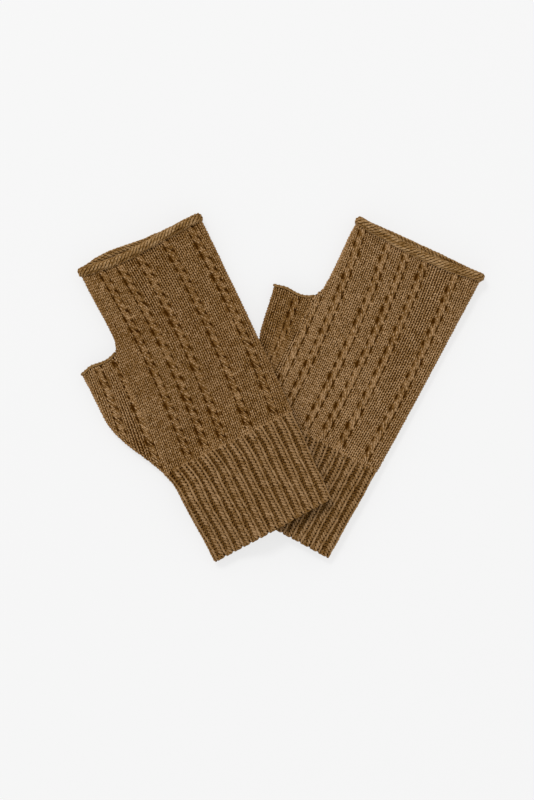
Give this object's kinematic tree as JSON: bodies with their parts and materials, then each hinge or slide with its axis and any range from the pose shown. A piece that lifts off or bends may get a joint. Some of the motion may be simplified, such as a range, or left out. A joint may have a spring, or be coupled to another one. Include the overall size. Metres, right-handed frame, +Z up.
{
  "type": "fingerless gloves",
  "caption": "Pair of knitted fingerless gloves with ribbed cuffs, lace columns, rolled finger edges and thumb openings, laid flat with one resting on the other.",
  "frame": {"origin": "on the resting surface, at the middle of the pair's outline", "axes": "+Z up from the resting surface, +Y from the cuffs towards the fingers, +X towards the fingers of the left glove"},
  "size_m": [0.2559, 0.2196, 0.0181],
  "materials": {
    "hand_knit": "brown marled cashmere, plain knit with lace columns",
    "rib_knit": "brown marled cashmere, 1x1 rib",
    "rolled_knit": "brown marled cashmere, reverse side of plain knit",
    "edge_chain": "brown marled cashmere, bound-off chain"
  },
  "bodies": {
    "left_glove": {"left_cuff_palm": "rib_knit", "left_cuff_back": "rib_knit", "left_hand_palm": "hand_knit", "left_hand_back": "hand_knit", "left_thumb_palm": "hand_knit", "left_thumb_back": "hand_knit", "left_finger_roll_palm": "rolled_knit", "left_finger_roll_back": "rolled_knit", "left_thumb_edge_palm": "edge_chain", "left_thumb_edge_back": "edge_chain"},
    "right_glove": {"right_cuff_back": "rib_knit", "right_cuff_palm": "rib_knit", "right_hand_back": "hand_knit", "right_hand_palm": "hand_knit", "right_thumb_back": "hand_knit", "right_thumb_palm": "hand_knit", "right_finger_roll_back": "rolled_knit", "right_finger_roll_palm": "rolled_knit", "right_thumb_edge_back": "edge_chain", "right_thumb_edge_palm": "edge_chain"}
  },
  "joints": [
    {"name": "right_glove_lift", "type": "slide", "parent": "left_glove", "child": "right_glove", "axis": [0, 0, 1], "range_m": [0, 0.1]}
  ]
}
